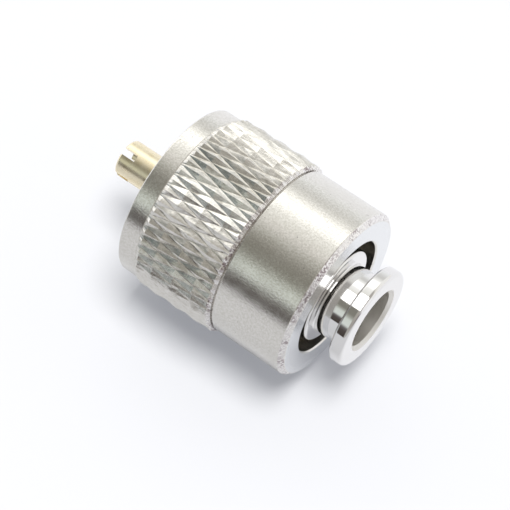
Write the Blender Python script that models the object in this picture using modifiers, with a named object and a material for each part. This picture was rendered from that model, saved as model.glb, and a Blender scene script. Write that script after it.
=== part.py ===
"""A UHF cable plug with a knurled coupling nut, in metres, with +Z up.

The plug stands on the end face of its tail. The origin is the middle of that
face, and +Z runs along the plug's axis to the tip of the centre pin.

It has five pieces. The plug body is turned in one piece, from the grooved tail
to the toothed contact ring. An insulator sits in its front and holds the centre
pin. A split retaining ring lies in a groove inside the coupling nut and slides
along a wide groove of the body, so the nut turns and slides but stays on.
"""
import math

import bmesh
import bpy
from mathutils import Matrix, Vector

MM = 0.001

# Clearances
FIT = 0.10 * MM                      # between a piece and the bore or seat that holds it
SIDE_PLAY = 0.05 * MM                # on each side of the retaining ring, along the axis
HOLE_CLEARANCE = 0.20 * MM           # of the nut's rear hole over the body's land
SHOULDER_CLEARANCE = 0.40 * MM       # of the nut's thread over the body's shoulder

# Tail of the plug body
CABLE_BORE_RADIUS = 3.1 * MM
CABLE_ENTRY_CHAMFER = 0.35 * MM
NECK_WALL = 0.75 * MM
NECK_LENGTH = 2.8 * MM
NECK_FILLET = 0.20 * MM
BARREL_WALL = 2.0 * MM
BARREL_LENGTH = 3.7 * MM
BARREL_ROUND = 0.30 * MM
FLANGE_HEIGHT = 0.25 * MM            # of the end flange over the barrel
FLANGE_LENGTH = 1.5 * MM
FLANGE_REAR_ROUND = 0.45 * MM
FLANGE_FRONT_CHAMFER = 0.30 * MM

# Front of the plug body
RUNWAY_HEIGHT = 0.35 * MM            # over the barrel, of the wide groove's floor that the ring slides along
RUNWAY_WALL = 1.05 * MM
RING_TRAVEL = 4.95 * MM              # how far the nut slides forward
LAND_HEIGHT = 0.65 * MM              # over the runway
LAND_LENGTH = 1.0 * MM
LAND_CHAMFER = 0.25 * MM
SHOULDER_HEIGHT = 0.85 * MM          # over the land
SHOULDER_LENGTH = 2.95 * MM
SHOULDER_CHAMFER = 0.20 * MM
SEAT_FLOOR = 0.95 * MM               # metal between the shoulder's rear face and the insulator's seat
CONTACT_WALL = 1.15 * MM             # thickness of the contact ring

# Teeth on the contact ring, which bite into the socket's face
TOOTH_COUNT = 24
TOOTH_DEPTH = 0.60 * MM
TOOTH_ANGLE = math.radians(75)

# Insulator
INSULATOR_FLANGE_LENGTH = 1.1 * MM
INSULATOR_STEM_LENGTH = 5.0 * MM
INSULATOR_EDGE = 0.15 * MM

# Centre pin
PIN_RADIUS = 2.0 * MM
PIN_WALL = 0.7 * MM
PIN_REACH = 13.2 * MM                # from the insulator's face to the tip
PIN_TAIL = 1.0 * MM                  # behind the insulator
PIN_TIP_ROUND = 0.30 * MM
PIN_FUNNEL = 0.35 * MM
PIN_FLANGE_HEIGHT = 0.6 * MM
PIN_FLANGE_LENGTH = 0.8 * MM
NOTCH_COUNT = 4
NOTCH_WIDTH = 0.8 * MM
NOTCH_DEPTH = 1.7 * MM
NOTCH_TURN = math.radians(11)

# Retaining ring
RING_THICKNESS = 1.0 * MM
RING_CATCH = 0.7 * MM                # how far the ring reaches into the nut's groove
RING_GAP = 2.2 * MM
RING_TURN = math.radians(200)

# Coupling nut, inside
NUT_HOLE_CHAMFER = 0.15 * MM
NUT_WALL = 1.5 * MM                  # thickness of the nut's rear wall
RING_GROOVE_OFFSET = 4.85 * MM       # from the nut's rear face
RING_SPREAD_ROOM = 0.7 * MM          # round the ring, so that it can open over the land
THREAD_DEPTH = 0.59 * MM
THREAD_LENGTH = 10.0 * MM
THREAD_RUNOUT_CHAMFER = 0.5 * MM
THREAD_ENTRY_CHAMFER = 0.45 * MM

# Coupling nut, outside
COLLAR_WALL = 1.36 * MM              # over the thread's major radius
COLLAR_LENGTH = 2.1 * MM
COLLAR_CHAMFER = 0.20 * MM
SKIRT_WALL = 0.75 * MM               # over the ring's groove
SKIRT_LENGTH = 8.4 * MM
SKIRT_FRONT_CHAMFER = 0.10 * MM
SKIRT_REAR_CHAMFER = 0.50 * MM

# Knurl
KNURL_WALL = 1.31 * MM               # under its valleys, over the thread's major radius
KNURL_DEPTH = 0.45 * MM
KNURL_LENGTH = 9.1 * MM
KNURL_STARTS = 50
KNURL_HELIX = math.radians(13.8)
KNURL_END_CHAMFER = 0.35 * MM
KNURL_RELIEF = 0.12 * MM             # narrow gap on each side of the knurled band
CORE_DEPTH = 0.15 * MM               # of the blank's core under the knurl's valleys
ENVELOPE_CLEARANCE = 0.1 * MM        # of the chamfering envelope over the knurl's crests

# How finely round shapes are divided
FINE_STEPS = 64
BODY_STEPS = 48
PIN_STEPS = 36
ROUND_STEPS = 3
OVERRUN = 1.0 * MM                   # how far a cutter passes the face that it opens

# Radii, each from the one inside it
neck_radius = CABLE_BORE_RADIUS + NECK_WALL
barrel_radius = CABLE_BORE_RADIUS + BARREL_WALL
flange_radius = barrel_radius + FLANGE_HEIGHT
runway_radius = barrel_radius + RUNWAY_HEIGHT
stem_bore_radius = runway_radius - RUNWAY_WALL
stem_radius = stem_bore_radius - FIT
land_radius = runway_radius + LAND_HEIGHT
shoulder_radius = land_radius + SHOULDER_HEIGHT
seat_radius = shoulder_radius - CONTACT_WALL
insulator_radius = seat_radius - FIT
pin_bore_radius = PIN_RADIUS - PIN_WALL
pin_flange_radius = PIN_RADIUS + PIN_FLANGE_HEIGHT
nut_hole_radius = land_radius + HOLE_CLEARANCE
cavity_radius = shoulder_radius + FIT
ring_inner_radius = runway_radius + FIT
ring_outer_radius = cavity_radius + RING_CATCH
ring_groove_radius = ring_outer_radius + RING_SPREAD_ROOM
# The two sums below come to 7.94 mm, the major radius of the 5/8-24 thread.
thread_minor_radius = shoulder_radius + SHOULDER_CLEARANCE
thread_radius = thread_minor_radius + THREAD_DEPTH
collar_radius = thread_radius + COLLAR_WALL
skirt_radius = ring_groove_radius + SKIRT_WALL
knurl_valley = thread_radius + KNURL_WALL
knurl_crest = knurl_valley + KNURL_DEPTH
core_radius = knurl_valley - CORE_DEPTH

# Heights of the seats and faces, from the tail's end face
neck_front = FLANGE_LENGTH + NECK_LENGTH
land_rear = neck_front + BARREL_LENGTH
land_front = land_rear + LAND_LENGTH
ring_rear = land_front + SIDE_PLAY
shoulder_rear = ring_rear + RING_THICKNESS + RING_TRAVEL + SIDE_PLAY
contact_front = shoulder_rear + SHOULDER_LENGTH
insulator_seat = shoulder_rear + SEAT_FLOOR
insulator_shoulder = insulator_seat + FIT
insulator_face = insulator_shoulder + INSULATOR_FLANGE_LENGTH
insulator_rear = insulator_shoulder - INSULATOR_STEM_LENGTH
stem_seat = insulator_rear - FIT
pin_seat = insulator_face - PIN_FLANGE_LENGTH
pin_shoulder = pin_seat + FIT
pin_rear = insulator_rear - PIN_TAIL
pin_tip = insulator_face + PIN_REACH
nut_rear = ring_rear - SIDE_PLAY - RING_GROOVE_OFFSET

# Heights inside the nut, from its rear face
groove_front = RING_GROOVE_OFFSET + RING_THICKNESS + 2 * SIDE_PLAY
knurl_rear = SKIRT_LENGTH + KNURL_RELIEF
knurl_front = knurl_rear + KNURL_LENGTH
collar_rear = knurl_front + KNURL_RELIEF
nut_length = collar_rear + COLLAR_LENGTH
thread_rear = nut_length - THREAD_LENGTH


def clear_scene():
    """Remove what an earlier run, or Blender's default scene, left behind."""
    for obj in list(bpy.data.objects):
        bpy.data.objects.remove(obj, do_unlink=True)
    for collection in list(bpy.data.collections):
        bpy.data.collections.remove(collection)


def new_collection(name):
    collection = bpy.data.collections.new(name)
    bpy.context.scene.collection.children.link(collection)
    return collection


def new_material(name, colour, metallic, roughness):
    material = bpy.data.materials.new(name)
    material.use_nodes = True
    shader = material.node_tree.nodes["Principled BSDF"]
    shader.inputs["Base Color"].default_value = (*colour, 1.0)
    shader.inputs["Metallic"].default_value = metallic
    shader.inputs["Roughness"].default_value = roughness
    return material


def new_object(name, mesh, collection):
    obj = bpy.data.objects.new(name, mesh)
    collection.objects.link(obj)
    return obj


def as_cutter(obj):
    """Mark an object that only shapes others."""
    obj.hide_render = True
    obj.display_type = "WIRE"
    return obj


def eased(corner, before, after, cut, steps):
    """Return the points that replace a corner: one step is a chamfer, more steps an arc."""
    corner, before, after = Vector(corner), Vector(before), Vector(after)
    back = (before - corner).normalized()
    ahead = (after - corner).normalized()
    half_angle = back.angle(ahead) / 2
    centre = corner + (back + ahead).normalized() * cut / math.cos(half_angle)
    start = corner + back * cut - centre
    sweep = start.angle_signed(corner + ahead * cut - centre)
    points = []
    for step in range(steps + 1):
        turn = Matrix.Rotation(-sweep * step / steps, 2)
        points.append(tuple(centre + turn @ start))
    return points


def outline(corners, closed):
    """Return profile points from corners, each (radius, height) or (radius, height, cut, steps)."""
    points = []
    count = len(corners)
    for index, corner in enumerate(corners):
        inner = closed or 0 < index < count - 1
        if len(corner) == 2 or not inner:
            points.append(corner[:2])
            continue
        before = corners[index - 1][:2]
        after = corners[(index + 1) % count][:2]
        points.extend(eased(corner[:2], before, after, corner[2], corner[3]))
    return points


def turned(name, corners, steps, collection, closed=True):
    """Turn a profile round +Z. It runs down its outer side first."""
    points = outline(corners, closed)
    edges = [(i, i + 1) for i in range(len(points) - 1)]
    if closed:
        edges.append((len(points) - 1, 0))
    mesh = bpy.data.meshes.new(name)
    mesh.from_pydata([(radius, 0, height) for radius, height in points], edges, [])
    obj = new_object(name, mesh, collection)
    screw = obj.modifiers.new("Turn", "SCREW")
    screw.axis = "Z"
    screw.angle = 2 * math.pi
    screw.steps = steps
    screw.render_steps = steps
    screw.use_merge_vertices = True
    screw.merge_threshold = 0.001 * MM
    return obj


def combine(obj, other, operation):
    """Cut, join or intersect an object with another."""
    boolean = obj.modifiers.new(other.name, "BOOLEAN")
    boolean.operation = operation
    boolean.solver = "EXACT"
    boolean.object = other


def finish(obj, material, height=0.0):
    """Make the modifiers real, shade the round faces smooth and set the piece at its height."""
    bpy.context.view_layer.update()
    evaluated = obj.evaluated_get(bpy.context.evaluated_depsgraph_get())
    mesh = bpy.data.meshes.new_from_object(evaluated)
    obj.modifiers.clear()
    obj.data = mesh
    mesh.name = obj.name
    mesh.materials.clear()
    mesh.materials.append(material)
    mesh.shade_smooth()
    mesh.set_sharp_from_angle(angle=math.radians(30))
    obj.location.z = height
    return obj


def ring_of_cutters(name, shape, count, turn, collection):
    """Return one cutter made of copies of a small closed shape, spaced evenly round +Z."""
    bm = bmesh.new()
    for index in range(count):
        copied = shape(bm)
        spin = Matrix.Rotation(turn + index * 2 * math.pi / count, 3, "Z")
        bmesh.ops.rotate(bm, verts=copied, matrix=spin)
    mesh = bpy.data.meshes.new(name)
    bm.to_mesh(mesh)
    bm.free()
    return as_cutter(new_object(name, mesh, collection))


def box(bm, low, high):
    """Add a box between two corners and return its points."""
    size = Vector(high) - Vector(low)
    place = Matrix.Translation((Vector(high) + Vector(low)) / 2) @ Matrix.Diagonal((*size, 1))
    return bmesh.ops.create_cube(bm, size=1, matrix=place)["verts"]


def tooth_gap(bm):
    """Add the V-shaped prism that parts two teeth of the contact ring."""
    low_radius = insulator_radius - OVERRUN
    high_radius = shoulder_radius + OVERRUN
    height = TOOTH_DEPTH + OVERRUN
    half_width = height * math.tan(TOOTH_ANGLE / 2)
    verts = box(bm, (low_radius, -half_width, contact_front - TOOTH_DEPTH),
                (high_radius, half_width, contact_front + OVERRUN))
    for vert in verts:
        if vert.co.z < contact_front:
            vert.co.y = 0
    bmesh.ops.remove_doubles(bm, verts=verts, dist=0.001 * MM)
    return [vert for vert in verts if vert.is_valid]


def pin_notch(bm):
    """Add the block that cuts one slot in the wall of the pin's tip."""
    return box(bm, (pin_bore_radius / 2, -NOTCH_WIDTH / 2, pin_tip - NOTCH_DEPTH),
               (PIN_RADIUS + OVERRUN, NOTCH_WIDTH / 2, pin_tip + OVERRUN))


def ring_split(bm):
    """Add the block that opens the retaining ring on one side."""
    return box(bm, (ring_inner_radius - OVERRUN, -RING_GAP / 2, -OVERRUN),
               (ring_outer_radius + OVERRUN, RING_GAP / 2, RING_THICKNESS + OVERRUN))


def knurl_roll(collection):
    """Return the solid roll of diamond knurling, in the nut's own frame.

    Two sets of straight grooves cross on a knurled cylinder and leave pyramids.
    So a lattice of diamonds is wrapped round the axis at the valleys' radius,
    each diamond is poked out to the crest's radius, and the lattice is cut off
    square at both ends and closed. A turned envelope then chamfers its ends.
    """
    pitch = 2 * math.pi / KNURL_STARTS
    half_length = knurl_valley * pitch / math.tan(KNURL_HELIX) / 2
    rows = math.ceil((KNURL_LENGTH + 2 * OVERRUN) / half_length) + 3
    middle = knurl_rear + KNURL_LENGTH / 2
    lowest = middle - (rows - 1) * half_length / 2
    bm = bmesh.new()
    lattice = []
    for row in range(rows):
        row_verts = []
        for column in range(KNURL_STARTS):
            angle = (column + row % 2 / 2) * pitch
            height = lowest + row * half_length
            at = (knurl_valley * math.cos(angle), knurl_valley * math.sin(angle), height)
            row_verts.append(bm.verts.new(at))
        lattice.append(row_verts)
    for row in range(rows - 2):
        for column in range(KNURL_STARTS):
            right = (column + row % 2) % KNURL_STARTS
            left = (right - 1) % KNURL_STARTS
            bm.faces.new((lattice[row][column], lattice[row + 1][right],
                          lattice[row + 2][column], lattice[row + 1][left]))
    crests = bmesh.ops.poke(bm, faces=bm.faces[:])["verts"]
    for vert in crests:
        vert.co.xy = vert.co.xy.normalized() * knurl_crest
    reach = KNURL_LENGTH / 2 + OVERRUN / 2
    for side in (-1, 1):
        bmesh.ops.bisect_plane(bm, geom=bm.verts[:] + bm.edges[:] + bm.faces[:], clear_outer=True,
                               plane_co=(0, 0, middle + side * reach), plane_no=(0, 0, side))
    rims = [edge for edge in bm.edges if edge.is_boundary]
    bmesh.ops.holes_fill(bm, edges=rims)
    bmesh.ops.recalc_face_normals(bm, faces=bm.faces[:])
    mesh = bpy.data.meshes.new("knurl_roll")
    bm.to_mesh(mesh)
    bm.free()
    roll = as_cutter(new_object("knurl_roll", mesh, collection))

    # The envelope stays clear of the crests and meets the knurl only at its chamfered ends.
    envelope_radius = knurl_crest + ENVELOPE_CLEARANCE
    chamfer = KNURL_END_CHAMFER + ENVELOPE_CLEARANCE
    envelope = turned("knurl_envelope", [
        (0, knurl_front),
        (envelope_radius, knurl_front, chamfer, 1),
        (envelope_radius, knurl_rear, chamfer, 1),
        (0, knurl_rear),
    ], FINE_STEPS, collection, closed=False)
    combine(roll, as_cutter(envelope), "INTERSECT")
    return roll


def coupling_nut(parts, cutters):
    """Turn the nut's blank, knurl it and bore it out."""
    skirt_step = abs(skirt_radius - core_radius)
    nut = turned("coupling_nut", [
        (0, nut_length),
        (collar_radius, nut_length, COLLAR_CHAMFER, 2),
        (collar_radius, collar_rear, COLLAR_CHAMFER, 1),
        (core_radius, collar_rear),
        (core_radius, SKIRT_LENGTH),
        (skirt_radius, SKIRT_LENGTH, min(SKIRT_FRONT_CHAMFER, skirt_step / 2), 1),
        (skirt_radius, 0, SKIRT_REAR_CHAMFER, 1),
        (0, 0),
    ], FINE_STEPS, parts, closed=False)
    mouth_radius = thread_radius + THREAD_ENTRY_CHAMFER
    hole_mouth_radius = nut_hole_radius + NUT_HOLE_CHAMFER
    bore = turned("nut_bore", [
        (0, nut_length + OVERRUN),
        (mouth_radius, nut_length + OVERRUN),
        (mouth_radius, nut_length),
        (thread_radius, nut_length - THREAD_ENTRY_CHAMFER),
        (thread_radius, thread_rear, THREAD_RUNOUT_CHAMFER, 1),
        (cavity_radius, thread_rear),
        (cavity_radius, groove_front),
        (ring_groove_radius, groove_front),
        (ring_groove_radius, RING_GROOVE_OFFSET),
        (cavity_radius, RING_GROOVE_OFFSET),
        (cavity_radius, NUT_WALL),
        (nut_hole_radius, NUT_WALL),
        (nut_hole_radius, NUT_HOLE_CHAMFER),
        (hole_mouth_radius, 0),
        (hole_mouth_radius, -OVERRUN),
        (0, -OVERRUN),
    ], FINE_STEPS, cutters, closed=False)
    combine(nut, knurl_roll(cutters), "UNION")
    combine(nut, as_cutter(bore), "DIFFERENCE")
    return finish(nut, new_material("satin_nickel", (0.62, 0.60, 0.56), 1.0, 0.32), nut_rear)


def plug_body(parts, cutters):
    """Turn the body with its bores, then cut the teeth of its contact ring."""
    body = turned("plug_body", [
        (shoulder_radius, contact_front, SHOULDER_CHAMFER, 1),
        (shoulder_radius, shoulder_rear, SHOULDER_CHAMFER, 1),
        (runway_radius, shoulder_rear),
        (runway_radius, land_front),
        (land_radius, land_front),
        (land_radius, land_rear, LAND_CHAMFER, 1),
        (barrel_radius, land_rear),
        (barrel_radius, neck_front, BARREL_ROUND, ROUND_STEPS),
        (neck_radius, neck_front, NECK_FILLET, 2),
        (neck_radius, FLANGE_LENGTH, NECK_FILLET, 2),
        (flange_radius, FLANGE_LENGTH, FLANGE_FRONT_CHAMFER, 1),
        (flange_radius, 0, FLANGE_REAR_ROUND, ROUND_STEPS),
        (CABLE_BORE_RADIUS, 0, CABLE_ENTRY_CHAMFER, 1),
        (CABLE_BORE_RADIUS, stem_seat),
        (stem_bore_radius, stem_seat),
        (stem_bore_radius, insulator_seat),
        (seat_radius, insulator_seat),
        (seat_radius, contact_front),
    ], BODY_STEPS, parts)
    # Half a step of turn keeps the gaps clear of the turned facets' edges.
    turn = math.pi / BODY_STEPS
    combine(body, ring_of_cutters("tooth_gaps", tooth_gap, TOOTH_COUNT, turn, cutters), "DIFFERENCE")
    return finish(body, new_material("polished_nickel", (0.66, 0.65, 0.63), 1.0, 0.08))


def insulator(parts):
    """Turn the insulator with its front flange, its stem and the recess for the pin's flange."""
    bore_radius = PIN_RADIUS + FIT
    recess_radius = pin_flange_radius + FIT
    piece = turned("insulator", [
        (insulator_radius, insulator_face, INSULATOR_EDGE, 1),
        (insulator_radius, insulator_shoulder),
        (stem_radius, insulator_shoulder),
        (stem_radius, insulator_rear, INSULATOR_EDGE, 1),
        (bore_radius, insulator_rear),
        (bore_radius, pin_seat),
        (recess_radius, pin_seat),
        (recess_radius, insulator_face),
    ], BODY_STEPS, parts)
    return finish(piece, new_material("white_plastic", (0.86, 0.86, 0.84), 0.0, 0.45))


def centre_pin(parts, cutters):
    """Turn the hollow pin, then cut the slots in its tip."""
    flange_front = pin_shoulder + PIN_FLANGE_LENGTH
    pin = turned("centre_pin", [
        (PIN_RADIUS, pin_tip, PIN_TIP_ROUND, ROUND_STEPS),
        (PIN_RADIUS, flange_front),
        (pin_flange_radius, flange_front),
        (pin_flange_radius, pin_shoulder),
        (PIN_RADIUS, pin_shoulder),
        (PIN_RADIUS, pin_rear),
        (pin_bore_radius, pin_rear, PIN_FUNNEL, 1),
        (pin_bore_radius, pin_tip),
    ], PIN_STEPS, parts)
    notches = ring_of_cutters("pin_notches", pin_notch, NOTCH_COUNT, NOTCH_TURN, cutters)
    combine(pin, notches, "DIFFERENCE")
    return finish(pin, new_material("gold_plate", (0.83, 0.66, 0.33), 1.0, 0.22))


def retaining_ring(parts, cutters):
    """Turn a flat ring and split it on one side."""
    ring = turned("retaining_ring", [
        (ring_outer_radius, RING_THICKNESS),
        (ring_outer_radius, 0),
        (ring_inner_radius, 0),
        (ring_inner_radius, RING_THICKNESS),
    ], BODY_STEPS, parts)
    combine(ring, ring_of_cutters("ring_split", ring_split, 1, RING_TURN, cutters), "DIFFERENCE")
    return finish(ring, new_material("spring_bronze", (0.62, 0.47, 0.28), 1.0, 0.30), ring_rear)


clear_scene()
parts = new_collection("uhf_connector")
cutters = new_collection("cutters")
plug_body(parts, cutters)
insulator(parts)
centre_pin(parts, cutters)
retaining_ring(parts, cutters)
coupling_nut(parts, cutters)
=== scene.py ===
# %% [markdown]
# A UHF cable plug is a small turned-brass assembly: a knurled coupling nut that
# floats on a plated body, with a hollow gold pin held in a white bead. Its solids
# are already packed as a fixed frame. This lesson loads that frame, turns a finer
# version of each piece round it with bmesh, and gives each one its plated finish.
# %% Load the frame
import math

import bmesh
import bpy
from mathutils import Matrix, Vector, noise


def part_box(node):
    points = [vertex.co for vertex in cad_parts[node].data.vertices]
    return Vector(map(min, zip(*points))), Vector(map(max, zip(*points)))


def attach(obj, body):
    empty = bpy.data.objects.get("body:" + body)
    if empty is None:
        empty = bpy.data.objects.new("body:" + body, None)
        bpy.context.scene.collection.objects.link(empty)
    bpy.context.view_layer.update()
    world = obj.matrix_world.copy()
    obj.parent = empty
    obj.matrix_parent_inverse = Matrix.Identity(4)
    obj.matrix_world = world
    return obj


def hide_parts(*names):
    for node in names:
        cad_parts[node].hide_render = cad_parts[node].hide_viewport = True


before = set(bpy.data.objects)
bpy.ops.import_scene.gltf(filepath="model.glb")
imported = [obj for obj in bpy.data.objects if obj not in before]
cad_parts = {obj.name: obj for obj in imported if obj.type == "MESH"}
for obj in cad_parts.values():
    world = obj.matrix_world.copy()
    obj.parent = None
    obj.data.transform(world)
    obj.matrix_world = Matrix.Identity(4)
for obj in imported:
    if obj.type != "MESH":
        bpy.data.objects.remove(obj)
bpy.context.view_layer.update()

MM = 0.001

# %% [markdown]
# A turned part is described by radii and heights. The heights that matter can be
# read from the frame's boxes, so that each finer piece lands exactly on its node.
# The other sizes repeat the values that the solids were made from.
# %% Read the frame's sizes
nut_low, nut_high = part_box("coupling_nut")
body_low, body_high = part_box("plug_body")
bead_low, bead_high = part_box("insulator")
pin_low, pin_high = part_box("centre_pin")
ring_low, ring_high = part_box("retaining_ring")
print("nut from", round(nut_low.z / MM, 2), "to", round(nut_high.z / MM, 2), "mm")

# %% [markdown]
# On a lathe a profile becomes a part in one turn. Spin does the same: it sweeps a
# ring of edges round the axis and welds the seam. Rounding the profile first would
# need many typed points, so the sharp profile is spun and then single edge rings
# are bevelled, which is what a deburring tool does to the real piece.
# %% Turn and deburr
TOUCH = 0.002 * MM


def turned(corners, steps):
    """Spin a closed profile of (radius, height) corners round the Z axis."""
    bm = bmesh.new()
    verts = [bm.verts.new((radius, 0, height)) for radius, height in corners]
    edges = [bm.edges.new((vert, verts[i - 1])) for i, vert in enumerate(verts)]
    bmesh.ops.spin(bm, geom=verts + edges, cent=(0, 0, 0), axis=(0, 0, 1), dvec=(0, 0, 0),
                   angle=2 * math.pi, steps=steps, use_merge=True, use_duplicate=False)
    bmesh.ops.recalc_face_normals(bm, faces=bm.faces[:])
    return bm


def at_ring(vert, radius, height):
    """Tell whether a point lies on the edge ring at one radius and height."""
    return abs(vert.co.z - height) < TOUCH and abs(vert.co.xy.length - radius) < TOUCH


def deburr(bm, radius, height, width, segments=3):
    """Round the edge ring at one radius and height."""
    ring_edges = [edge for edge in bm.edges
                  if all(at_ring(vert, radius, height) for vert in edge.verts)]
    bmesh.ops.bevel(bm, geom=ring_edges, offset=width, offset_type="OFFSET", affect="EDGES",
                    segments=segments, profile=0.5, material=-1, clamp_overlap=True)


# %% [markdown]
# Each mesh becomes a piece that rides on a body of the frame. Long turned faces
# meet tiny rounded edges here, and plain smooth shading would bend the light over
# the whole length of a face. A Weighted Normal modifier gives the big faces the
# say, so that only the rounded edges turn the light. It passes over corners whose
# faces add up to less than a millionth of a square unit, which is a square
# millimetre here, so the mesh is enlarged while the modifier works.
# %% Weight the normals
ENLARGED = 1 / MM


def weight_normals(piece):
    """Let the big faces of a piece rule its shading, and keep the result in its mesh."""
    plain = piece.data
    plain.transform(Matrix.Scale(ENLARGED, 4))
    piece.modifiers.new("even_normals", "WEIGHTED_NORMAL").keep_sharp = True
    weighted = bpy.data.meshes.new_from_object(
        piece.evaluated_get(bpy.context.evaluated_depsgraph_get()))
    weighted.transform(Matrix.Scale(1 / ENLARGED, 4))
    piece.modifiers.clear()
    piece.data = weighted
    bpy.data.meshes.remove(plain)


# %% [markdown]
# The knurl and the thread are all small facets of one size, so they are left out
# of the weighting. The crease is the angle, in degrees, past which an edge stays
# crisp. Printing the number of open edges shows at once whether a piece is closed.
# %% Make a piece
def add_object(name, data):
    """Add an object with this mesh, lamp or camera to the scene."""
    added = bpy.data.objects.new(name, data)
    bpy.context.scene.collection.objects.link(added)
    return added


def as_piece(bm, name, body, materials, crease=40, turned_faces=True):
    """Turn a bmesh into a piece that rides on a body, sharp past the crease angle."""
    mesh = bpy.data.meshes.new(name)
    bm.to_mesh(mesh)
    unclosed = sum(edge.is_boundary or edge.is_wire for edge in bm.edges)
    bm.free()
    for material in materials:
        mesh.materials.append(material)
    mesh.shade_smooth()
    mesh.set_sharp_from_angle(angle=math.radians(crease))
    piece = add_object(name, mesh)
    if turned_faces:
        weight_normals(piece)
        piece.data.name = name
    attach(piece, body)
    print(name, len(piece.data.polygons), "faces,", unclosed, "open edges")
    return piece


# %% [markdown]
# Every finish here is a plated metal, apart from the white bead and the bare ring.
# Metal shows its light through the reflections, so most of its character is in the
# roughness and in a very fine bump. A finish is a small tree of nodes, and a value
# in it is a plain number, a colour or another node's socket. One helper feeds any
# of the three to a socket, and the other helpers are built on it.
# %% Start a finish
def feed(tree, value, socket):
    """Link a socket to a value, or write a plain number or colour into it."""
    if isinstance(value, bpy.types.NodeSocket):
        tree.links.new(value, socket)
    elif isinstance(value, tuple):
        socket.default_value = (*value, 1)
    else:
        socket.default_value = value


def new_surface(name, colour, metallic, roughness):
    """Start a Principled material and return it with its tree."""
    material = bpy.data.materials.new(name)
    material.use_nodes = True
    shader = material.node_tree.nodes["Principled BSDF"]
    shader.inputs["Base Color"].default_value = (*colour, 1)
    shader.inputs["Metallic"].default_value = metallic
    shader.inputs["Roughness"].default_value = roughness
    print("finish", name)
    return material, material.node_tree


def connect(tree, normal, colour=None, roughness=None):
    """Give the surface its bump, and its pattern of colour and roughness."""
    sockets = tree.nodes["Principled BSDF"].inputs
    for value, name in ((colour, "Base Color"), (roughness, "Roughness"), (normal, "Normal")):
        if value is not None:
            feed(tree, value, sockets[name])


# %% [markdown]
# The patterns are noises that read Object coordinates, so that they stay with the
# piece when it moves. A noise seldom strays far from a half, so it is remapped from
# a narrow range, such as 0.3 to 0.7, to whatever it drives. The Mix node has a set
# of sockets for each kind of value, and those for colours have the numbers below.
# %% Make patterns
MIX_SHARE, MIX_LOW, MIX_HIGH, MIX_RESULT = 0, 6, 7, 2


def object_coords(tree, scale=(1, 1, 1)):
    """Return a vector socket: Object coordinates, multiplied by a scale."""
    coords = tree.nodes.new("ShaderNodeTexCoord")
    mapping = tree.nodes.new("ShaderNodeMapping")
    mapping.inputs["Scale"].default_value = scale
    feed(tree, coords.outputs["Object"], mapping.inputs["Vector"])
    return mapping.outputs["Vector"]


def noise_value(tree, vector, size, detail=2.0, rough=0.5):
    """Return a 0 to 1 noise whose spots are about a size across, in metres."""
    node = tree.nodes.new("ShaderNodeTexNoise")
    node.inputs["Scale"].default_value = 1 / size
    node.inputs["Detail"].default_value = detail
    node.inputs["Roughness"].default_value = rough
    feed(tree, vector, node.inputs["Vector"])
    return node.outputs["Fac"]


def remap(tree, value, low, high, to_low=0, to_high=1):
    """Map a value from one range to another, held at the ends."""
    node = tree.nodes.new("ShaderNodeMapRange")
    node.inputs["From Min"].default_value = low
    node.inputs["From Max"].default_value = high
    node.inputs["To Min"].default_value = to_low
    node.inputs["To Max"].default_value = to_high
    feed(tree, value, node.inputs["Value"])
    return node.outputs["Result"]


def tint(tree, share, low, high):
    """Mix two colours by a share that goes from 0 to 1."""
    node = tree.nodes.new("ShaderNodeMix")
    node.data_type = "RGBA"
    feed(tree, share, node.inputs[MIX_SHARE])
    feed(tree, low, node.inputs[MIX_LOW])
    feed(tree, high, node.inputs[MIX_HIGH])
    return node.outputs[MIX_RESULT]


def bump(tree, height, depth, normal=None):
    """Return a normal raised by a 0 to 1 height, of a depth in metres."""
    node = tree.nodes.new("ShaderNodeBump")
    node.inputs["Strength"].default_value = 1.0
    node.inputs["Distance"].default_value = depth
    feed(tree, height, node.inputs["Height"])
    if normal is not None:
        feed(tree, normal, node.inputs["Normal"])
    return node.outputs["Normal"]


# %% [markdown]
# The nut's finish is satin nickel: bright, slightly warm, with a grain like fine
# frost and a few dark pits where the plating missed. The frost is a noise a fifth
# of a millimetre across, which tints the metal as well as raising it, because a
# bump that small is lost once the picture is cleaned of noise.
# %% Satin nickel
NICKEL_LIGHT = (0.84, 0.82, 0.78)
NICKEL_DARK = (0.71, 0.69, 0.64)
PIT = (0.12, 0.11, 0.10)


def satin_nickel():
    """Frosted plating with a few pits and a slow cloud in its gloss."""
    material, tree = new_surface("satin_nickel", NICKEL_LIGHT, 1.0, 0.2)
    coords = object_coords(tree)
    frost = noise_value(tree, coords, 0.2 * MM, 2, 0.8)
    frosted = tint(tree, remap(tree, frost, 0.38, 0.62), NICKEL_DARK, NICKEL_LIGHT)
    pits = remap(tree, noise_value(tree, coords, 0.22 * MM, 1), 0.21, 0.24)
    cloud = noise_value(tree, coords, 2.5 * MM, 3)
    connect(tree, normal=bump(tree, pits, 0.008 * MM, bump(tree, frost, 0.014 * MM)),
            colour=tint(tree, pits, PIT, frosted),
            roughness=remap(tree, cloud, 0.3, 0.7, 0.17, 0.25))
    return material


satin = satin_nickel()

# %% [markdown]
# The broad chamfer at the nut's rear was cut last and left rough, and so was the
# knurl's end beside the skirt. The plating sparkles there, and the sparkle is painted
# into its colour: painted dark, slightly purple specks lie among painted glints, with
# smoother patches between them.
# %% Worn nickel with painted sparkle for the rough ends
PAINTED_DARK_SPARKLE = (0.30, 0.24, 0.25)
PAINTED_GLINT = (0.94, 0.92, 0.90)
SMOOTH_PATCH = (0.88, 0.86, 0.84)


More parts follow.
